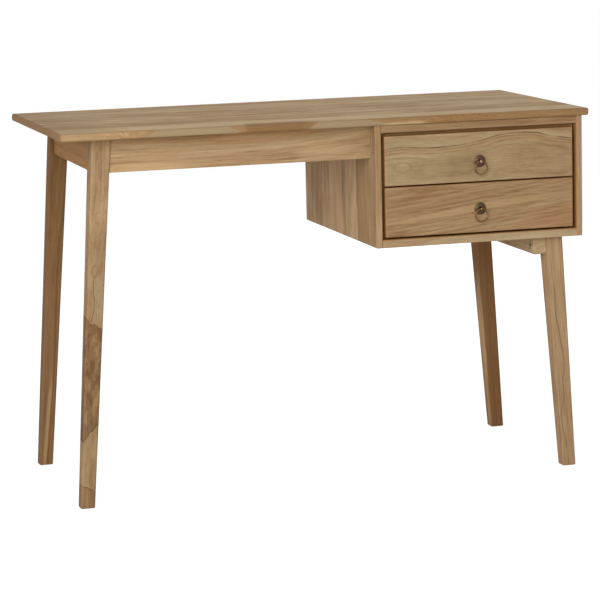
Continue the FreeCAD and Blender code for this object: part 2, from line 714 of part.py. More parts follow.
def ring_pull(level, front, place):
    """A domed rosette, a post with an eye and a nut, and the ring that hangs in the eye."""
    x, y, z = place
    bore(front, place, REARWARD, POST_HOLE, "front_thickness")
    rosette = turned(f"{level}_pull_rosette", place)
    disc(rosette, "rosette_diameter", "0", "rosette_rim")
    ball(rosette, "dome_radius", "dome_centre",
         [f"asin(({height} - dome_centre) / dome_radius)" for height in ("rosette_rim", "rosette_height")])
    bore(rosette, ("0", "0", "0"), UP, POST_HOLE, "rosette_height")

    post = turned(f"{level}_pull_post", place)
    collar_top = "rosette_height + post_collar_height"
    disc(post, "post_shank_diameter", "-(front_thickness + pull_nut_height + post_tail)", "rosette_height")
    disc(post, "post_collar_diameter", "rosette_height", collar_top)
    disc(post, "post_neck_diameter", collar_top, "eye_standoff")
    ball(post, "post_head_diameter / 2", "eye_standoff")
    bore(post, ("-post_head_diameter", "0", "eye_standoff"), RIGHT, "eye_diameter", "post_head_diameter * 2")

    ring = new_body(f"{level}_pull_ring")
    torus = ring.newObject("PartDesign::AdditiveTorus", f"{level}_pull_ring_torus")
    bind(torus, Radius1="ring_mean_diameter / 2", Radius2="ring_wire_diameter / 2")
    put(ring, (x, f"{y} - eye_standoff", f"{z} - ring_mean_diameter / 2"), towards(FORWARD))

    nut_seat = (x, "front_back", z)
    nut = pierced(hexagon(nut_seat, REARWARD, "pull_nut_width", "pull_nut_height"),
                  rod(nut_seat, REARWARD, POST_HOLE, "pull_nut_height"))
    nut.Label = f"{level}_pull_nut"
    pieces.append(nut)


drawer("upper", "upper_base", "upper_pull_drop")
drawer("lower", "lower_base", "lower_pull_drop")

# Check every feature, then write one file for each piece
doc.recompute()
failed = [item.Label for item in doc.Objects if "Invalid" in item.State or "Error" in item.State]
for piece in pieces:
    if piece.Shape.isNull() or not piece.Shape.isValid():
        failed.append(piece.Label)
if failed:
    raise RuntimeError(f"not built: {failed}")
os.makedirs("parts", exist_ok=True)
for piece in pieces:
    piece.Shape.exportStep(f"parts/{piece.Label}.step")
print(len(pieces), "pieces written")
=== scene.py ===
"""Looks for a teak writing desk with two drawers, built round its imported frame."""

import math

import bmesh
import bpy
from bpy.props import FloatProperty, FloatVectorProperty, PointerProperty
from mathutils import Matrix, Vector


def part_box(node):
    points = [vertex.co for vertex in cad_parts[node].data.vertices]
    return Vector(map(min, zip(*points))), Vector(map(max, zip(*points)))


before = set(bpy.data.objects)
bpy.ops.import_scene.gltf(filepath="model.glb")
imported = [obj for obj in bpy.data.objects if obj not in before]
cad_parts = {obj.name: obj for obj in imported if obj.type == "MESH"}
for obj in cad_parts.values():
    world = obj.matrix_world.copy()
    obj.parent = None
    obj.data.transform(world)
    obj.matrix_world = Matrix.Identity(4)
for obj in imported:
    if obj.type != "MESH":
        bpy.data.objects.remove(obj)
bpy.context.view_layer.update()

bl_info = {
    "name": "Teak Desk",
    "version": (1, 0, 0),
    "blender": (4, 5, 0),
    "location": "View3D > Sidebar > Desk",
    "description": "Dresses a teak desk with two drawers and sets up its studio",
    "category": "Object",
}


def shade(red, green, blue):
    """A colour as it is picked on screen, from 0 to 255, turned into light."""
    light = []
    for part in (red, green, blue):
        part = part / 255
        light.append(part / 12.92 if part <= 0.04045 else ((part + 0.055) / 1.055) ** 2.4)
    return (*light, 1.0)


def colour(name, description, *picked):
    """A colour that a user can change."""
    return FloatVectorProperty(
        name=name,
        description=description,
        subtype="COLOR",
        size=4,
        min=0.0,
        max=1.0,
        default=shade(*picked),
    )


def length(name, description, default):
    """A size in metres that a user can change."""
    return FloatProperty(
        name=name, description=description, unit="LENGTH", precision=4, min=0.0, default=default
    )


def share(name, description, default, most=1.0):
    """A plain number that a user can change."""
    return FloatProperty(
        name=name, description=description, subtype="FACTOR", min=0.0, max=most, default=default
    )


def power(name, description, default):
    """A lamp's power in watts that a user can change."""
    return FloatProperty(name=name, description=description, unit="POWER", default=default)


class TeakLook(bpy.types.PropertyGroup):
    """Colours and sizes of the oiled teak."""

    pale: colour("Pale wood", "Early wood between the growth rings", 188, 158, 117)
    middle: colour("Middle wood", "Main colour of the oiled teak", 170, 137, 98)
    deep: colour("Deep wood", "Late wood at the growth rings", 138, 105, 70)
    vein: colour("Veins", "Thin dark mineral lines", 92, 62, 38)
    olive: colour("Olive cast", "Cooler streaks in the heartwood", 152, 134, 96)
    russet: colour("Russet cast", "Warmer streaks in the heartwood", 160, 112, 72)
    sapwood: colour("Sapwood", "Pale outer wood left on the tabletop's edge", 150, 133, 105)
    # Painted shade: a darker, browner tint for the inner faces and edges that show only in the shaded
    # gaps round the drawers
    soaked: colour("Soaked wood", "Inner faces and edges that show in the shaded gaps", 150, 100, 45)
    ring_spacing: length("Ring spacing", "Distance from one growth ring to the next", 0.0075)
    stave_width: length("Stave width", "Width of the strips glued into wide boards", 0.085)
    contrast: share("Grain contrast", "How strongly the rings differ in tone", 0.62, 2.0)
    roughness: share("Roughness", "Roughness of the oiled surface", 0.5)
    gloss: share("Gloss", "How strongly the oiled surface mirrors light", 0.015)
    edge_width: length("Rubbed edge", "Width of the rubbed band along an edge", 0.0022)


class InnerLook(bpy.types.PropertyGroup):
    """Colours of the boards inside the cabinet and of the dowels."""

    pale: colour("Pale inner wood", "Early wood of the drawer boxes", 205, 182, 142)
    middle: colour("Middle inner wood", "Main colour of the drawer boxes", 190, 163, 122)
    deep: colour("Deep inner wood", "Late wood of the drawer boxes", 166, 136, 96)
    dowel: colour("Dowels", "Colour of the dowel pins", 196, 168, 124)


class MetalLook(bpy.types.PropertyGroup):
    """Colours of the pulls and the fasteners."""

    brass: colour("Rubbed brass", "Aged brass where hands have rubbed it", 128, 98, 58)
    bright: colour("Bright brass", "Polished head of the posts", 168, 142, 116)
    patina: colour("Patina", "Dark brown film on the upper pull", 86, 66, 51)
    green_patina: colour("Green patina", "Dark olive film on the lower pull", 82, 69, 48)
    zinc: colour("Zinc", "Plated steel of the fasteners", 156, 142, 116)
    passivated: colour("Passivated zinc", "Yellowed film on the plating", 122, 103, 68)


class StudioLook(bpy.types.PropertyGroup):
    """Light, floor and lens of the studio."""

    floor: colour("Floor", "Pale floor", 246, 246, 245)
    sky: share("Sky light", "Strength of the even light from all round", 0.44, 4.0)
    lamp: power("Lamp", "Power of the soft lamp at the front", 105.0)
    back_lamp: power("Back lamp", "Power of the weaker lamp behind", 45.0)
    lamp_size: length("Lamp size", "Width of each lamp", 2.2)
    lens: FloatProperty(
        name="Lens", description="Focal length of the camera", unit="CAMERA", default=161.658
    )


class Socket:
    """A node's output. Arithmetic on it adds Math nodes to the same finish."""

    def __init__(self, finish, output):
        self.finish = finish
        self.output = output

    def maths(self, operation, *values):
        return self.finish.node("ShaderNodeMath", {"operation": operation}, dict(enumerate(values)))

    def __add__(self, other):
        return self.maths("ADD", self, other)

    __radd__ = __add__

    def __sub__(self, other):
        return self.maths("SUBTRACT", self, other)

    def __rsub__(self, other):
        return self.maths("SUBTRACT", other, self)

    def __mul__(self, other):
        return self.maths("MULTIPLY", self, other)

    def __truediv__(self, other):
        return self.maths("DIVIDE", self, other)

    def __abs__(self):
        return self.maths("ABSOLUTE", self)

    def root(self):
        return self.maths("SQRT", self)

    def fraction(self):
        return self.maths("FRACT", self)

    def least(self, other):
        return self.maths("MINIMUM", self, other)

    def most(self, other):
        return self.maths("MAXIMUM", self, other)

    def past(self, limit):
        return self.maths("GREATER_THAN", self, limit)

    def step(self, low, high):
        """Rises smoothly from 0 at low to 1 at high; falls where low is the larger."""
        if low > high:
            return 1 - self.step(high, low)
        return self.finish.node(
            "ShaderNodeMapRange", {"interpolation_type": "SMOOTHSTEP"}, {0: self, 1: low, 2: high}
        )

    def between(self, start, full, fading, end):
        """Rises from 0 at start to 1 at full, and falls again from fading to the end."""
        return self.step(start, full) * self.step(end, fading)

    def curve(self, points):
        """Follows a drawn curve through points, both ways from 0 to 1."""
        return self.finish.node("ShaderNodeFloatCurve", {"curve": points}, {"Value": self})

    def sibling(self, name):
        """Another output of the same node."""
        return Socket(self.finish, self.output.node.outputs[name])


class Finish:
    """A new material or world, and the one way to add nodes to it."""

    def __init__(self, name, library="materials"):
        self.made = getattr(bpy.data, library).new(name)
        self.made.use_nodes = True
        self.tree = self.made.node_tree
        self.tree.nodes.clear()

    def node(self, kind, settings=None, sockets=None, output=0):
        """Adds a node: its settings first, then the values or links of its sockets."""
        added = self.tree.nodes.new(kind)
        for name, value in (settings or {}).items():
            if name == "curve":
                points = added.mapping.curves[0].points
                for place in value[2:]:
                    points.new(*place)
                for point, place in zip(points, sorted(value)):
                    point.location = place
                added.mapping.update()
            else:
                setattr(added, name, value)
        for name, value in (sockets or {}).items():
            if isinstance(value, Socket):
                self.tree.links.new(value.output, added.inputs[name])
            else:
                added.inputs[name].default_value = value
        return Socket(self, added.outputs[output]) if added.outputs else None

    def place(self):
        """The three object coordinates as separate values."""
        whole = self.node("ShaderNodeTexCoord", output="Object")
        parts = self.node("ShaderNodeSeparateXYZ", None, {0: whole})
        return parts, parts.sibling(1), parts.sibling(2)

    def noise(self, first, second, third, detail=2.0, rough=0.5):
        """Noise at a place given by three values."""
        where = self.node("ShaderNodeCombineXYZ", None, {0: first, 1: second, 2: third})
        return self.node(
            "ShaderNodeTexNoise",
            None,
            {"Vector": where, "Scale": 1.0, "Detail": detail, "Roughness": rough},
        )

    def even_noise(self, often, detail, rough):
        """Noise that changes that often in a metre, the same in every direction."""
        x, y, z = self.place()
        return self.noise(x * often, y * often, z * often, detail, rough)

    def noise_line(self, along, detail=2.0, rough=0.5):
        """Noise that changes along one value only."""
        return self.node(
            "ShaderNodeTexNoise",
            {"noise_dimensions": "1D"},
            {"W": along, "Scale": 1.0, "Detail": detail, "Roughness": rough},
        )

    def mixed(self, part, first, second, mode="MIX"):
        """The first colour turned into the second by that part."""
        return self.node(
            "ShaderNodeMix",
            {"data_type": "RGBA", "blend_type": mode},
            {0: part, 6: first, 7: second},
            output=2,
        )

    def seen(self):
        """1 where the camera looks, straight on or by a mirror or glass; 0 for light that falls."""
        path = self.node("ShaderNodeLightPath", output="Is Camera Ray")
        return path.most(path.sibling("Is Glossy Ray")).most(path.sibling("Is Transmission Ray"))

    def surface(self, base, rough, height, depth, **fixed):
        """Joins colour, roughness and bump into the material's surface."""
        normal = self.node(
            "ShaderNodeBump", None, {"Strength": 1.0, "Distance": depth, "Height": height}
        )
        sockets = {"Base Color": base, "Roughness": rough, "Normal": normal}
        sockets.update({name.replace("_", " "): value for name, value in fixed.items()})
        return self.close(self.node("ShaderNodeBsdfPrincipled", None, sockets))

    def close(self, shader, output="ShaderNodeOutputMaterial"):
        """Ends the node tree with that shader."""
        self.node(output, None, {"Surface": shader})
        return self.made


def dress(node, material):
    """Gives a node of the frame its finish."""
    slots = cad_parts[node].material_slots
    if not slots:
        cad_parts[node].data.materials.append(material)
    for slot in slots:
        slot.material = material


# What sets one board's wood apart. Places are in metres from the board's middle, and paths run
# from 0 to 1 along the board and across it.
FIGURE = {
    "pith": (0.12, 0.05),  # the tree's centre, across the board and into it
    "slope": 0.0,  # how fast the grain climbs across the board
    "taper": 0.0,  # how fast the tree's centre sinks into the board
    "wander": 0.006,  # how far the grain strays
    "tone": 0.0,  # the whole board paler above 0, deeper below
    "rings": 1.0,  # strength of the growth rings
    "flow": 0.35,  # strength of the broad streaks
    "grain": 1.0,  # strength of the fine streaks
    "mottle": 0.3,  # strength of the cloudy patches
    "veins": 0.3,  # strength of thin dark lines anywhere
    "cast": 0.0,  # russet above 0, olive below
    "stain": (1.0, 1.0, 1.0),  # tint of the whole board
    "staves": (),  # glued strips: the joint's place across, and the tone after it
    "path": None,  # the line that the grain follows along the board
    "lines": (),  # dark lines that follow the grain: place across, width, strength
    "threads": (),  # dark lines on a path of their own: path, start, end, width, strength
    "crossings": (),  # wavy dark lines across: place along, tilt, width, strength, tone past it
    "eyes": (),  # small knots: place along, place across, size, push on the grain, strength
    "patches": (),  # tinted patches: place along, place across, length, height, strength, colour
    "soaked": None,  # where the painted gap shade starts and is whole, in half thicknesses
    "marks": None,  # tints of this board alone
}

# How often each pattern of the wood changes in a metre: along the grain, across it, into the board
SLOW = (1.6, 5.0, 5.0)
QUICK = (7.0, 46.0, 46.0)
STREAK = (1.3, 34.0)
FLOW = (4.0, 95.0, 10.0)
BUNDLE = (13.0, 270.0, 60.0)
CLOUD = (9.0, 24.0, 24.0)
FIBRE = (16.0, 620.0, 620.0)
PORE = (55.0, 1300.0, 1300.0)
# How far in metres the grain, a thread and a crossing line stray from their course
GRAIN_SHAKE = 0.0045
THREAD_SHAKE = 0.006
CROSSING_WAVE = 0.03
CROSSING_RIPPLE = 0.012
# Half widths in metres of a glue line's faint and full part, and the depth of the pores
GLUE_LINE = (0.0007, 0.0001)
PORE_DEPTH = 0.00016
# How much each pattern counts in the tone of the wood
BAND_TONE = 1.4
RING_TONE = 0.12
STREAK_TONE = 0.8
BUNDLE_TONE = 1.35
FIBRE_TONE = 0.5
# The tones over which the wood turns deep, middle and pale
TO_DEEP = (-1.0, 0.0)
TO_MIDDLE = (-0.1, 0.6)
TO_PALE = (0.45, 1.15)
# How much of its own colour each of these takes at the most
OLIVE_SHARE = 0.5
RUSSET_SHARE = 0.4
GAP_SHADE_SHARE = 0.7
GLUE_SHARE = 0.45
PORE_SHARE = 0.4
# How much fibres, pores, edges and the tone change the roughness
FIBRE_ROUGH = 0.2
PORE_ROUGH = 0.14
EDGE_ROUGH = 0.05
TONE_ROUGH = 0.06
# How far in metres from a leg's end its outline is measured
LEG_END = 0.006
# Painted gap shade, on the faces that show in the gaps round the drawers: all behind the outer face
# of a drawer front, and the face at the plus or the minus end of the axis into the board
BEHIND_FRONT = (-0.99, -0.92)
PLUS_FACE = (0.7, 0.92)
MINUS_FACE = (-0.7, -0.92)


class Teak(Finish):
    """Solid oiled wood for one board. Offsets run along the grain, across it and into the board."""

    def __init__(self, name, look, offsets, reach, seed, colours=None, **figure):
        super().__init__(name)
        self.look = look
        self.board = {**FIGURE, **figure}
        self.reach = reach
        self.seed = seed
        self.along, self.across, self.deep, halves = offsets(self)
        self.pale, self.middle, self.dark = colours or (look.pale, look.middle, look.deep)
        self.share_along = self.along * (0.5 / reach[0]) + 0.5
        self.edges = self.edge_mask(halves)
        self.glue_up()
        self.bend_grain()
        self.grow()
        self.tone = self.tones()
        wood = self.coloured()
        wood = self.marked(wood)
        wood = self.lined(wood)
        self.worn(wood)

    def edge_mask(self, halves):
        """1 along the edges of the board and 0 on its faces."""
        offsets = (self.along, self.across, self.deep)
        gaps = [half - abs(offset) for half, offset in zip(halves, offsets)]
        second = gaps[0].least(gaps[1]).most(gaps[0].most(gaps[1]).least(gaps[2]))
        return second.step(self.look.edge_width, 0.0)

    def glue_up(self):
        """Gives each glued strip wood of its own."""
        self.own = self.seed * 1.37
        self.lane = self.across
        self.strip_tone = 0.0
        self.glue = None
        if not self.board["staves"]:
            return
        number = 0.0
        last = 0.0
        for joint, tone in self.board["staves"]:
            past = self.across.past(joint)
            number = number + past
            self.strip_tone = self.strip_tone + past * (tone - last)
            near = abs(self.across - joint)
            self.glue = self.glue.least(near) if self.glue else near
            last = tone
        chance = self.node(
            "ShaderNodeTexWhiteNoise", {"noise_dimensions": "1D"}, {"W": number + self.seed}
        )
        self.lane = self.across + (chance - 0.5) * 0.3
        self.own = chance * 9.7 + self.own

    def bend_grain(self):
        """Lets the grain stray, follow its path and flow round the knots."""
        along, across, deep, own = self.along, self.across, self.deep, self.own
        seed = self.seed
        self.slow = self.noise(along * SLOW[0] + own, across * SLOW[1] + own, deep * SLOW[2] + seed)
        self.quick = self.noise(
            along * QUICK[0] + seed, across * QUICK[1] + own, deep * QUICK[2], 2.0, 0.55
        )
        drift = (self.slow - 0.5) * (self.board["wander"] * 5.0) + (self.quick - 0.5) * GRAIN_SHAKE
        if self.board["path"]:
            half = self.reach[1]
            followed = across.step(-1.3 * half, 0.5 * half)
            bend = self.share_along.curve(self.board["path"]) - 0.75
            drift = drift - bend * followed * (2 * half)
        self.knots = []
        for eye_along, eye_across, size, push, strength in self.board["eyes"]:
            far_along = along - eye_along
            far_across = self.lane - eye_across
            far = (far_along * far_along * 0.3 + far_across * far_across).root()
            far = far + (self.quick - 0.5) * size * 0.5
            self.knots.append((far, size, strength))
            drift = drift + far.step(size * 1.6, 0.0) * push
        self.follow = self.lane + drift - along * self.board["slope"]

    def grow(self):
        """Growth rings round the pith, and the streaks, fibres and pores along them."""
        along, across, deep, own = self.along, self.across, self.deep, self.own
        seed = self.seed
        side = self.follow - self.board["pith"][0]
        back = deep + along * self.board["taper"] - self.board["pith"][1]
        radius = (side * side + back * back).root()
        self.turns = radius / self.look.ring_spacing
        self.bands = self.noise_line(self.turns * 0.55 + own, 4.0, 0.66)
        self.ring = (self.turns + (self.bands - 0.5) * 1.8).fraction().step(0.6, 1.0)
        self.streak = self.noise(along * STREAK[0] + own, radius * STREAK[1] + seed, seed)
        self.flow = self.noise(
            along * FLOW[0] + own, radius * FLOW[1] + seed, deep * FLOW[2], 2.0, 0.6
        )
        self.bundle = self.noise(
            along * BUNDLE[0] + own, radius * BUNDLE[1] + seed, deep * BUNDLE[2], 3.0, 0.65
        )
        self.cloud = self.noise(
            along * CLOUD[0] + own, self.lane * CLOUD[1] + seed, deep * CLOUD[2], 2.0, 0.6
        )
        self.fibre = self.noise(along * FIBRE[0] + own, across * FIBRE[1], deep * FIBRE[2], 2.0, 0.6)
        holes = self.noise(along * PORE[0], across * PORE[1] + own, deep * PORE[2], 1.0)
        self.pore = holes.step(0.64, 0.78)

    def tones(self):
        """How light the wood is: 1 for pale, 0 for deep, and below 0 towards the veins."""
        contrast = self.look.contrast
        grain = self.board["grain"]
        tone = (self.bands - 0.5) * (BAND_TONE * contrast * self.board["rings"])
        tone = tone - (self.ring - 0.3) * (RING_TONE * contrast)
        tone = tone + (self.streak - 0.5) * STREAK_TONE
        tone = tone + (self.bundle - 0.5) * (BUNDLE_TONE * contrast * grain)
        tone = tone + (self.fibre - 0.5) * (FIBRE_TONE * grain)
        tone = tone + (self.flow - 0.5) * self.board["flow"]
        tone = tone + (self.cloud - 0.5) * self.board["mottle"]
        self.waves = []
        for place, tilt, width, strength, change in self.board["crossings"]:
            wave = (self.quick - 0.5) * CROSSING_WAVE + (self.cloud - 0.5) * CROSSING_RIPPLE
            off = self.along - place - self.across * tilt + wave
            self.waves.append((abs(off).step(width, width * 0.2), strength))
            tone = tone + off.step(-0.002, 0.002) * change
        return tone + self.strip_tone + (0.5 + self.board["tone"])

    def coloured(self):
        """The wood's colour by its tone, with olive and russet streaks."""
        look, cast = self.look, self.board["cast"]
        wood = self.mixed(self.tone.step(*TO_DEEP) * 0.5 + 0.5, look.vein, self.dark)
        wood = self.mixed(self.tone.step(*TO_MIDDLE), wood, self.middle)
        wood = self.mixed(self.tone.step(*TO_PALE), wood, self.pale)
        wood = self.mixed(self.streak.step(0.52, 0.8) * OLIVE_SHARE, wood, look.olive)
        wood = self.mixed(self.slow.step(0.5, 0.78) * RUSSET_SHARE, wood, look.russet)
        if cast:
            wood = self.mixed(abs(cast), wood, look.russet if cast > 0 else look.olive)
        return self.mixed(1.0, wood, (*self.board["stain"], 1.0), "MULTIPLY")

    def marked(self, wood):
        """Adds the board's tinted patches, the painted shade on its faces in the gaps, and its own
        marks.
        """
        ragged = (self.bundle - 0.5) * 1.2 + (self.cloud - 0.5) * 0.8
        for place_along, place_across, long, high, strength, tint in self.board["patches"]:
            far_along = (self.along - place_along) / long
            far_across = (self.follow - place_across) / high
            far = far_along * far_along + far_across * far_across + ragged
            wood = self.mixed(far.step(1.1, 0.2) * strength, wood, getattr(self.look, tint))
        # Painted shade: the faces that show in the gaps round the drawers turn darker and browner
        if self.board["soaked"]:
            soaked = (self.deep / self.reach[2]).step(*self.board["soaked"])
            wood = self.mixed(soaked * GAP_SHADE_SHARE, wood, self.look.soaked)
        if self.board["marks"]:
            for part, tint in self.board["marks"](self):
                wood = self.mixed(part, wood, tint)
        return wood

    def lined(self, wood):
        """Draws the dark lines, knots, glue lines and pores."""
        vein = self.look.vein
        if self.board["veins"]:
            thin = self.noise_line(self.turns * 0.31 + self.own, 1.0)
            part = thin.step(0.68, 0.76) * self.streak.step(0.35, 0.65)
            wood = self.mixed(part * self.board["veins"], wood, vein)
        for place, width, strength in self.board["lines"]:
            off = abs(self.follow - place + (self.bundle - 0.5) * (2 * width))
            broken = self.noise_line(self.along * 16.0 + place * 900.0, 1.0).step(0.3, 0.65)
            part = off.step(width, width * 0.1) * (broken * 0.75 + 0.25)
            wood = self.mixed(part * strength, wood, vein)
        for path, start, end, width, strength in self.board["threads"]:
            target = (self.share_along.curve(path) - 0.5) * (2 * self.reach[1])
            shake = (self.quick - 0.5) * THREAD_SHAKE
            off = abs(self.across - target + shake + (self.bundle - 0.5) * width)
            held = self.share_along.between(start - 0.02, start + 0.02, end - 0.02, end + 0.02)
            wood = self.mixed(off.step(width, width * 0.15) * held * strength, wood, vein)
        for wave, strength in self.waves:
            wood = self.mixed(wave * (self.cloud + 0.4) * strength, wood, vein)
        for far, size, strength in self.knots:
            rim = abs(far - size * 0.8).step(size * 0.3, 0.0) * (self.cloud + 0.3)
            wood = self.mixed((rim + far.step(size * 0.8, 0.0) * 0.3) * strength, wood, vein)
        if self.glue:
            wood = self.mixed(self.glue.step(*GLUE_LINE) * GLUE_SHARE, wood, vein)
        return self.mixed(self.pore * PORE_SHARE, wood, vein)

    def worn(self, wood):
        """Rubs the edges paler and closes the surface."""
        fibre, pore = self.fibre, self.pore
        wood = self.mixed(self.edges * (0.12 + (fibre - 0.4) * 0.5), wood, self.pale)
        rough = self.look.roughness + (fibre - 0.5) * FIBRE_ROUGH + pore * PORE_ROUGH
        rough = rough + self.edges * EDGE_ROUGH - (self.tone - 0.5) * TONE_ROUGH
        height = (fibre - 0.5) * 0.5 - pore * 0.9 - self.ring * 0.25
        self.surface(wood, rough, height, PORE_DEPTH, Specular_IOR_Level=self.look.gloss)


def even_staves(low, high, width, tones):
    """Joints of strips of one width, each with its own tone."""
    count = round((high - low) / width)
    wide = (high - low) / count
    return [(wide * (place - count / 2), tones[place % len(tones)]) for place in range(1, count)]


def teak_board(context, node, order, seed, colours=None, **figure):
    """Dresses one straight board. The order names the axes along it, across it and into it."""
    low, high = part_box(node)
    centre = (low + high) / 2
    turn = ["xyz".index(axis) for axis in order]
    reach = [(high - low)[axis] / 2 for axis in turn]

    def offsets(finish):
        where = finish.place()
        return [where[axis] - centre[axis] for axis in turn] + [reach]

    look = context.scene.desk_teak
    dress(node, Teak(node + "_wood", look, offsets, reach, seed, colours, **figure).made)


def inner_board(context, node, order, seed, **figure):
    """Dresses one board of the plain wood inside the cabinet."""
    inner = context.scene.desk_inner
    plain = (inner.pale, inner.middle, inner.deep)
    teak_board(context, node, order, seed, plain, veins=0.0, **figure)


def leg_ends(node):
    """Middle and half width of a leg at its foot and at its top."""
    points = [vertex.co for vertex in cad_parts[node].data.vertices]
    low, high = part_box(node)
    ends = []
    for height in (low.z, high.z):
        near = [point for point in points if abs(point.z - height) < LEG_END]
        across = [point.x for point in near]
        deep = [point.y for point in near]
        centre = Vector(((min(across) + max(across)) / 2, (min(deep) + max(deep)) / 2, height))
        ends.append((centre, (max(across) - min(across)) / 2))
    return ends


def teak_leg(context, node, seed, **figure):
    """Dresses one leaning, tapered leg along its own centre line."""
    (foot, foot_half), (top, top_half) = leg_ends(node)
    reach = ((top.z - foot.z) / 2, (foot_half + top_half) / 2)

    def offsets(finish):
        x, y, z = finish.place()
        rise = (z - foot.z) / (top.z - foot.z)
        half = foot_half + rise * (top_half - foot_half)
        across = x - foot.x - rise * (top.x - foot.x)
        deep = y - foot.y - rise * (top.y - foot.y)
        return z - (foot.z + top.z) / 2, across, deep, (reach[0], half, half)

    look = context.scene.desk_teak
    dress(node, Teak(node + "_wood", look, offsets, reach, seed, **figure).made)


class DESK_OT_tabletop(bpy.types.Operator):
    """Dresses the tabletop as staves with sapwood left along the front edge"""

    bl_idname = "desk.tabletop"
    bl_label = "Tabletop"

    def execute(self, context):
        look = context.scene.desk_teak
        low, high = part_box("tabletop")
        # Where the tint of the front edge and the left end starts and is whole, from the edge inwards
        rim = (0.006, 0.003)
        tones = (0.0, -0.63, -0.35, -0.55, -0.31, -0.49)

        def front_marks(wood):
            x, y, z = wood.place()
            # The way up the front edge and on over the top, and the place along the edge
            climb = (y - low.y) + (z - low.z) + (wood.bundle - 0.5) * 0.008
            ragged = x + (wood.cloud - 0.5) * 0.03 + (wood.bundle - 0.5) * 0.02
            # Two wedges of sapwood and a thin tail, each as high as its last number
            first = ragged.between(-0.390, -0.335, -0.225, -0.180) * 0.019
            second = ragged.between(-0.060, -0.020, 0.060, 0.150) * 0.017
            tail = ragged.between(0.0, 0.06, 0.18, 0.24) * 0.0065
            sapwood = (first.most(second).most(tail) - climb).step(-0.0015, 0.0035)
            # Hatched russet wood beside the wedges, and deep heartwood between them
            hatch = wood.noise((x + z) * 160.0, y * 40.0, z * 160.0, 1.0).step(0.42, 0.62)
            right = ragged.between(0.17, 0.21, 0.32, 0.36)
            left = ragged.between(-0.47, -0.43, -0.40, -0.38)
            flame = (right + left) * climb.step(0.034, 0.016) * (hatch * 0.5 + 0.3)
            heart = ragged.between(-0.185, -0.17, -0.07, -0.02) * climb.step(0.06, 0.025)
            # The darker front edge and left end, and painted shade on the left part of the top, where
            # the light falls off
            edge = (y - low.y).step(*rim) * (ragged.step(-0.42, -0.36) * 0.55 + 0.4)
            end = (x - low.x).step(*rim) * 0.9
            painted_falloff_shade = (x - low.x).step(0.16, 0.03)
            return (
                # Painted shade: the left part of the top turns towards the deep wood
                (painted_falloff_shade * 0.35, look.deep),
                ((edge * (0.65 + wood.bundle * 0.6)).most(end), look.deep),
                (heart * 0.75, look.deep),
                (heart * 0.22, look.vein),
                (flame * 0.35, look.russet),
                (flame * hatch * 0.3, look.vein),
                (sapwood * (0.4 + wood.bundle * 0.7), look.sapwood),
                ((tail - climb).step(-0.0015, 0.0035) * ragged.step(0.1, 0.13) * 0.7, look.pale),
            )

        teak_board(
            context,
            "tabletop",
            "xyz",
            3.0,
            staves=even_staves(low.y, high.y, look.stave_width, tones),
            pith=(0.02, -0.09),
            taper=0.03,
            wander=0.008,
            tone=0.45,
            mottle=0.9,
            flow=1.7,
            grain=2.2,
            cast=-0.12,
            stain=(1.13, 1.19, 1.28),
            marks=front_marks,
        )
        return {"FINISHED"}


class DESK_OT_aprons(bpy.types.Operator):
    """Dresses the aprons, the side rail and the corner blocks"""

    bl_idname = "desk.aprons"
    bl_label = "Aprons and Rail"

    def execute(self, context):
        teak_board(
            context,
            "front_apron",
            "xzy",
            11.0,
            pith=(0.16, 0.03),
            wander=0.004,
            flow=0.9,
            grain=1.6,
            stain=(0.87, 0.9, 0.95),
            path=((0.0, 0.75), (1.0, 1.0), (0.35, 0.75), (0.7, 0.82)),
            patches=(
                (-0.2, -0.03, 0.12, 0.014, 0.5, "pale"),
                (0.17, -0.02, 0.07, 0.012, 0.3, "pale"),
                (0.06, 0.02, 0.14, 0.016, 0.35, "russet"),
                (-0.17, 0.026, 0.16, 0.012, 0.35, "deep"),
            ),
        )
        teak_board(context, "rear_apron", "xzy", 12.0, pith=(-0.12, 0.05), slope=-0.01)
        teak_board(
            context,
            "left_side_rail",
            "yzx",
            13.0,
            cast=0.3,
            grain=2.0,
            flow=0.9,
            stain=(0.88, 0.78, 0.62),
        )
        for place, node in enumerate(("front_corner_block", "rear_corner_block")):
            teak_board(context, node, "zxy", 14.0 + place, pith=(0.05, 0.05))
        return {"FINISHED"}


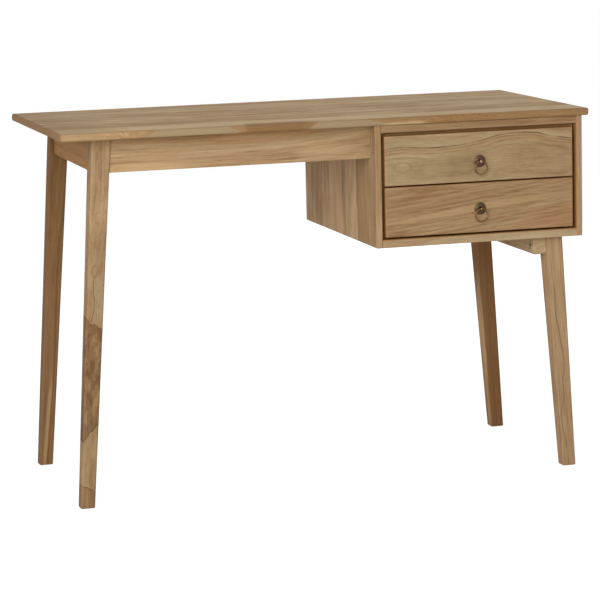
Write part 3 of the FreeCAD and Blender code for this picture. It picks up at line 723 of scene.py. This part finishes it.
class DESK_OT_legs(bpy.types.Operator):
    """Dresses the four legs and the cleat that carries the right pair"""

    bl_idname = "desk.legs"
    bl_label = "Legs and Cleat"

    def execute(self, context):
        look = context.scene.desk_teak

        def curls(wood):
            along, across, deep = wood.along, wood.across, wood.deep
            # Thin lines that curl as the height lines of a map do, five from valley to peak
            field = wood.noise(along * 20.0, across * 55.0, deep * 55.0, 2.0, 0.55)
            curl = abs((field * 5.0).fraction() - 0.5).step(0.12, 0.02)
            # Blotches in the dark stretch of the leg
            blot = wood.noise(along * 32.0 + 5.0, across * 75.0, deep * 75.0, 2.0, 0.6)
            stretch = along.between(-0.22, -0.2, -0.02, 0.0)
            return (
                (blot.step(0.5, 0.65) * stretch * 0.22, look.pale),
                (blot.step(0.48, 0.34) * stretch * 0.5, look.vein),
                (curl * (stretch * 0.2 + 0.2), look.vein),
            )

        teak_leg(
            context,
            "left_front_leg",
            21.0,
            pith=(0.05, 0.07),
            slope=0.02,
            wander=0.02,
            rings=0.4,
            flow=0.8,
            grain=0.8,
            mottle=1.6,
            tone=-0.25,
            stain=(0.79, 0.82, 0.88),
            eyes=((0.107, -0.004, 0.008, 0.008, 0.35), (-0.078, -0.001, 0.016, 0.006, 0.12)),
            patches=(
                (0.05, 0.007, 0.055, 0.008, 0.6, "sapwood"),
                (-0.085, -0.016, 0.012, 0.005, 0.6, "vein"),
            ),
            marks=curls,
            crossings=(
                (-0.3305, -0.55, 0.0016, 0.9, 0.3),
                (-0.2168, 0.95, 0.0028, 1.0, -0.9),
                (-0.144, -0.3, 0.0008, 0.5, 0.06),
                (0.0, -0.9, 0.002, 0.9, 0.8),
            ),
            threads=(
                (
                    ((0.0, 0.4), (1.0, 0.4), (0.50, 0.3), (0.56, 0.45), (0.60, 0.36)),
                    0.5, 0.62, 0.0012, 0.7,
                ),
            ),
        )
        teak_leg(
            context,
            "left_rear_leg",
            22.0,
            pith=(-0.06, 0.05),
            slope=0.045,
            veins=0.6,
            rings=0.6,
            flow=0.9,
            cast=0.3,
            mottle=0.8,
            stain=(0.5, 0.47, 0.44),
            patches=((-0.28, 0.011, 0.12, 0.006, 0.35, "pale"),),
            threads=(
                (
                    ((0.0, 0.55), (1.0, 1.0), (0.144, 0.63), (0.275, 0.71), (0.58, 0.71),
                     (0.755, 0.92)),
                    0.0, 0.8, 0.003, 0.6,
                ),
            ),
        )
        teak_leg(
            context,
            "right_front_leg",
            23.0,
            pith=(0.09, 0.03),
            slope=-0.015,
            flow=0.9,
            grain=1.5,
            mottle=0.8,
            cast=-0.15,
            stain=(0.9, 0.9, 0.98),
            threads=(
                (
                    ((0.0, 0.4), (1.0, 0.2), (0.097, 0.37), (0.219, 0.2), (0.319, 0.5), (0.374, 0.48),
                     (0.44, 0.62), (0.54, 0.5), (0.629, 0.37), (0.673, 0.3)),
                    0.08, 0.68, 0.0011, 0.7,
                ),
            ),
        )
        teak_leg(
            context,
            "right_rear_leg",
            24.0,
            pith=(-0.05, -0.08),
            slope=-0.02,
            rings=0.6,
            flow=0.8,
            cast=0.35,
            stain=(0.56, 0.5, 0.46),
            patches=(
                (-0.19, 0.004, 0.16, 0.022, 0.3, "vein"),
                (-0.1, -0.0185, 0.24, 0.007, 0.75, "pale"),
            ),
        )
        teak_board(
            context,
            "leg_cleat",
            "yxz",
            26.0,
            pith=(0.01, -0.03),
            flow=1.2,
            grain=2.2,
            veins=0.9,
            cast=-0.1,
            stain=(1.0, 1.08, 1.2),
        )
        return {"FINISHED"}


class DESK_OT_cabinet(bpy.types.Operator):
    """Dresses the cabinet's case, its rails and back, and the strips that guide the drawers"""

    bl_idname = "desk.cabinet"
    bl_label = "Cabinet"

    def execute(self, context):
        look = context.scene.desk_teak
        low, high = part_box("cabinet_left_side")
        tones = (0.05, -0.15, 0.1, -0.05)
        even = even_staves(low.y, high.y, look.stave_width, tones)
        teak_board(
            context,
            "cabinet_left_side",
            "zyx",
            31.0,
            pith=(0.05, 0.1),
            cast=-0.1,
            flow=0.8,
            grain=1.6,
            mottle=1.2,
            veins=0.5,
            # Partly painted light: the glued strips are real, but the front strip is toned deeper
            # (painted shade) and the strips behind it paler (painted light), to even out the shadow
            # that the apron casts on this side
            tone=-0.6,
            rings=0.5,
            stain=(1.15, 1.22, 1.4),
            staves=((-0.124, 0.5), (-0.017, 0.65), (0.071, 0.3), (0.195, 0.4)),
            # Painted shade on the face towards the drawers, where it shows in the gaps
            soaked=PLUS_FACE,
            threads=((((0.0, 0.26), (1.0, 0.252)), 0.3, 1.0, 0.006, 0.55),),
        )
        teak_board(
            context,
            "cabinet_right_side",
            "zyx",
            32.0,
            staves=even,
            mottle=0.5,
            stain=(0.88, 0.93, 1.1),
            # Painted shade on the face towards the drawers, where it shows in the gaps
            soaked=MINUS_FACE,
        )
        teak_board(
            context,
            "cabinet_bottom",
            "xyz",
            33.0,
            staves=even,
            stain=(0.96, 1.12, 1.32),
            # Painted shade on the upper face, where it shows in the gaps
            soaked=PLUS_FACE,
        )
        teak_board(
            context,
            "cabinet_front_rail",
            "xzy",
            34.0,
            grain=1.6,
            flow=0.8,
            stain=(0.7, 0.67, 0.68),
        )
        teak_board(context, "cabinet_rear_rail", "xzy", 35.0)
        low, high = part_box("cabinet_back")
        even = even_staves(low.z, high.z, look.stave_width, tones)
        teak_board(context, "cabinet_back", "xzy", 36.0, staves=even, pith=(0.04, 0.08))
        brown = (0.9, 0.72, 0.5)
        strips = ("lower_runner", "upper_runner", "lower_guide", "upper_guide", "kicker")
        for place, strip in enumerate(strips):
            inner_board(context, strip + "_left", "yxz", 40.0 + 2 * place, stain=brown)
            inner_board(context, strip + "_right", "yxz", 41.0 + 2 * place, stain=brown)
        inner_board(context, "kicker_front", "xzy", 50.0, stain=brown)
        return {"FINISHED"}


class DESK_OT_drawers(bpy.types.Operator):
    """Dresses both drawer fronts with their own figure, and the drawer boxes"""

    bl_idname = "desk.drawers"
    bl_label = "Drawers"

    def execute(self, context):
        teak_board(
            context,
            "upper_drawer_front",
            "xzy",
            51.0,
            pith=(-0.02, 0.11),
            cast=-0.08,
            wander=0.003,
            flow=0.5,
            grain=1.8,
            mottle=0.4,
            veins=0.15,
            stain=(0.85, 0.92, 1.0),
            path=(
                (0.0, 0.73), (1.0, 0.765), (0.07, 0.77), (0.2, 0.737), (0.36, 0.75), (0.5, 0.82),
                (0.63, 0.92), (0.78, 0.925), (0.88, 0.84),
            ),
            lines=(
                (0.0253, 0.0024, 0.8),
                (0.0205, 0.003, 0.4),
                (0.014, 0.0025, 0.35),
                (0.004, 0.003, 0.2),
            ),
            eyes=((-0.165, -0.014, 0.012, 0.012, 0.2),),
            patches=((0.0, 0.017, 0.5, 0.009, 0.2, "russet"),),
            # Painted shade on all behind the outer face, where it shows in the gaps
            soaked=BEHIND_FRONT,
        )
        teak_board(
            context,
            "lower_drawer_front",
            "xzy",
            57.0,
            slope=0.113,
            pith=(-0.16, 0.05),
            wander=0.004,
            grain=2.4,
            mottle=0.5,
            cast=0.05,
            flow=0.9,
            stain=(0.78, 0.78, 0.82),
            lines=((-0.012, 0.003, 0.25), (0.01, 0.003, 0.25), (-0.038, 0.003, 0.3)),
            patches=(
                (0.16, -0.05, 0.12, 0.03, 0.35, "russet"),
                (-0.12, 0.03, 0.14, 0.02, 0.2, "deep"),
                (0.0, 0.0, 0.25, 0.008, 0.4, "pale"),
            ),
            # Painted shade on all behind the outer face, where it shows in the gaps
            soaked=BEHIND_FRONT,
        )
        for seed, level in ((61.0, "upper"), (71.0, "lower")):
            inner_board(context, level + "_drawer_left_side", "yzx", seed)
            inner_board(context, level + "_drawer_right_side", "yzx", seed + 1)
            inner_board(context, level + "_drawer_back", "xzy", seed + 2)
            inner_board(context, level + "_drawer_bottom", "xyz", seed + 3, pith=(0.02, 0.12))
        return {"FINISHED"}


# How deep in metres the surface of each metal, and of the dowels, is pitted
BRASS_DEPTH = 0.00002
ZINC_DEPTH = 0.00005
DOWEL_DEPTH = 0.0001


def aged_brass(name, film, metal, wear, rough):
    """Brass under a dark film that is rubbed through in places."""
    finish = Finish(name)
    cloud = finish.even_noise(160.0, 3.0, 0.5)
    grit = finish.even_noise(3200.0, 2.0, 0.6)
    rubbed = (cloud + (grit - 0.5) * 0.2).step(0.7 - wear, 1.0 - wear)
    base = finish.mixed(rubbed, film, metal)
    varied = rough + (cloud - 0.5) * 0.1 + (grit - 0.5) * 0.1
    return finish.surface(base, varied, grit * 0.3 + cloud * 0.4, BRASS_DEPTH, Metallic=1.0)


class DESK_OT_pulls(bpy.types.Operator):
    """Dresses the ring pulls in aged brass"""

    bl_idname = "desk.pulls"
    bl_label = "Ring Pulls"

    def execute(self, context):
        metals = context.scene.desk_metal
        for level, film, head in (
            ("upper", metals.patina, metals.bright),
            ("lower", metals.green_patina, metals.brass),
        ):
            plate = aged_brass(level + "_plate_brass", film, metals.brass, 0.1, 0.46)
            dress(level + "_pull_rosette", plate)
            dress(level + "_pull_nut", plate)
            knob = aged_brass(level + "_knob_brass", film, head, 0.3, 0.15)
            dress(level + "_pull_post", knob)
            ring = aged_brass(level + "_ring_brass", film, metals.brass, 0.4, 0.42)
            dress(level + "_pull_ring", ring)
        return {"FINISHED"}


class DESK_OT_fasteners(bpy.types.Operator):
    """Dresses the screws, bolts and dowels"""

    bl_idname = "desk.fasteners"
    bl_label = "Fasteners"

    def execute(self, context):
        metals = context.scene.desk_metal
        finish = Finish("zinc_plating")
        cloud = finish.even_noise(300.0, 3.0, 0.6)
        base = finish.mixed(cloud.step(0.35, 0.7), metals.zinc, metals.passivated)
        zinc = finish.surface(base, 0.35 + cloud * 0.25, cloud, ZINC_DEPTH, Metallic=1.0)
        for node in (
            "tabletop_screws",
            "apron_screws",
            "cleat_screws",
            "back_panel_screws",
            "leg_bolts",
            "leg_bolt_washers",
            "leg_bolt_inserts",
            "hanger_bolts",
            "hanger_nuts",
        ):
            dress(node, zinc)
        inner = context.scene.desk_inner
        finish = Finish("dowel_wood")
        x, y, z = finish.place()
        fleck = finish.noise(x * 90.0, y * 900.0, z * 900.0, 2.0, 0.6)
        base = finish.mixed(fleck.step(0.3, 0.7), inner.deep, inner.dowel)
        dowel = finish.surface(base, 0.55 + (fleck - 0.5) * 0.2, fleck, DOWEL_DEPTH)
        for node in ("cabinet_dowels", "upper_drawer_dowels", "lower_drawer_dowels"):
            dress(node, dowel)
        return {"FINISHED"}


WHITE = (1.0, 1.0, 1.0, 1.0)
# How much of the light that falls on the floor the camera sees; the rest of its white is even
SHADOW = 0.35
# Half the floor's width, and the point that the lamps face
FLOOR_REACH = 40.0
LAMPS_FACE = Vector((0.0, 0.0, 0.5))
FRONT_LAMP_PLACE = Vector((-1.8, -3.0, 1.8))
BACK_LAMP_PLACE = Vector((2.0, 2.8, 1.6))
# The camera: its place, how far it is turned, lifted and rolled in degrees, its sensor in
# millimetres and how far it sees
CAMERA_PLACE = (-1.56224, -5.36297, 1.25338)
CAMERA_ANGLES = (-16.24, 9.17, -1.37)
SENSOR_WIDTH = 36.0
CAMERA_SIGHT = 100.0


def studio_floor(scene, studio):
    """A wide pale floor that shows white and keeps a soft shadow."""
    mesh = bpy.data.meshes.new("studio_floor")
    plan = bmesh.new()
    bmesh.ops.create_grid(plan, x_segments=1, y_segments=1, size=FLOOR_REACH)
    plan.to_mesh(mesh)
    plan.free()
    floor = bpy.data.objects.new("studio_floor", mesh)
    scene.collection.objects.link(floor)
    finish = Finish("pale_floor")
    faint = [part * SHADOW for part in studio.floor[:3]] + [1.0]
    even = 1.0 - SHADOW * studio.floor[0] * studio.sky
    lit = finish.node("ShaderNodeBsdfDiffuse", None, {"Color": studio.floor})
    shadowed = finish.node("ShaderNodeBsdfDiffuse", None, {"Color": faint})
    white = finish.node("ShaderNodeEmission", None, {"Color": WHITE, "Strength": even})
    shown = finish.node("ShaderNodeAddShader", None, {0: shadowed, 1: white})
    mixed = finish.node("ShaderNodeMixShader", None, {0: finish.seen(), 1: lit, 2: shown})
    mesh.materials.append(finish.close(mixed))


def studio_light(scene, studio):
    """Even white light from all round, a soft lamp at the front left and a weaker one behind."""
    sky = Finish("studio_sky", "worlds")
    glow = sky.node("ShaderNodeBackground", None, {"Color": WHITE, "Strength": studio.sky})
    white = sky.node("ShaderNodeBackground", None, {"Color": WHITE, "Strength": 1.0})
    mixed = sky.node("ShaderNodeMixShader", None, {0: sky.seen(), 1: glow, 2: white})
    scene.world = sky.close(mixed, "ShaderNodeOutputWorld")
    for name, energy, place, mirrored in (
        ("front_lamp", studio.lamp, FRONT_LAMP_PLACE, True),
        ("back_lamp", studio.back_lamp, BACK_LAMP_PLACE, False),
    ):
        lamp = bpy.data.lights.new(name, "AREA")
        lamp.energy = energy
        lamp.size = studio.lamp_size
        holder = bpy.data.objects.new(name, lamp)
        holder.location = place
        holder.rotation_mode = "QUATERNION"
        holder.rotation_quaternion = (place - LAMPS_FACE).to_track_quat("Z", "Y")
        holder.visible_glossy = mirrored
        scene.collection.objects.link(holder)


def studio_camera(scene, studio):
    """A long lens at the front left, a little above the desk."""
    turn, lift, roll = (math.radians(angle) for angle in CAMERA_ANGLES)
    flat = math.cos(lift)
    back = Vector((math.sin(turn) * flat, -math.cos(turn) * flat, math.sin(lift)))
    level = Vector((0.0, 0.0, 1.0)).cross(back).normalized()
    upright = back.cross(level)
    right = math.cos(roll) * level + math.sin(roll) * upright
    above = math.cos(roll) * upright - math.sin(roll) * level
    lens = bpy.data.cameras.new("desk_camera")
    lens.lens = studio.lens
    lens.sensor_width = SENSOR_WIDTH
    lens.clip_end = CAMERA_SIGHT
    camera = bpy.data.objects.new("desk_camera", lens)
    place = Matrix((right, above, back)).transposed().to_4x4()
    place.translation = CAMERA_PLACE
    camera.matrix_world = place
    scene.collection.objects.link(camera)
    scene.camera = camera


class DESK_OT_studio(bpy.types.Operator):
    """Sets up the floor, the soft light and the camera"""

    bl_idname = "desk.studio"
    bl_label = "Studio"

    def execute(self, context):
        scene = context.scene
        scene.view_settings.view_transform = "Standard"
        studio_floor(scene, scene.desk_studio)
        studio_light(scene, scene.desk_studio)
        studio_camera(scene, scene.desk_studio)
        return {"FINISHED"}


STEPS = ("tabletop", "aprons", "legs", "cabinet", "drawers", "pulls", "fasteners", "studio")


class DESK_PT_panel(bpy.types.Panel):
    """Lists the desk's steps in the sidebar"""

    bl_label = "Teak Desk"
    bl_idname = "DESK_PT_panel"
    bl_space_type = "VIEW_3D"
    bl_region_type = "UI"
    bl_category = "Desk"

    def draw(self, context):
        for step in STEPS:
            self.layout.operator("desk." + step)


CLASSES = (
    TeakLook,
    InnerLook,
    MetalLook,
    StudioLook,
    DESK_OT_tabletop,
    DESK_OT_aprons,
    DESK_OT_legs,
    DESK_OT_cabinet,
    DESK_OT_drawers,
    DESK_OT_pulls,
    DESK_OT_fasteners,
    DESK_OT_studio,
    DESK_PT_panel,
)


def register():
    for made in CLASSES:
        bpy.utils.register_class(made)
    bpy.types.Scene.desk_teak = PointerProperty(type=TeakLook)
    bpy.types.Scene.desk_inner = PointerProperty(type=InnerLook)
    bpy.types.Scene.desk_metal = PointerProperty(type=MetalLook)
    bpy.types.Scene.desk_studio = PointerProperty(type=StudioLook)


def unregister():
    del bpy.types.Scene.desk_studio
    del bpy.types.Scene.desk_metal
    del bpy.types.Scene.desk_inner
    del bpy.types.Scene.desk_teak
    for made in reversed(CLASSES):
        bpy.utils.unregister_class(made)


def main():
    register()
    for step in STEPS:
        getattr(bpy.ops.desk, step)()


if __name__ == "__main__":
    main()
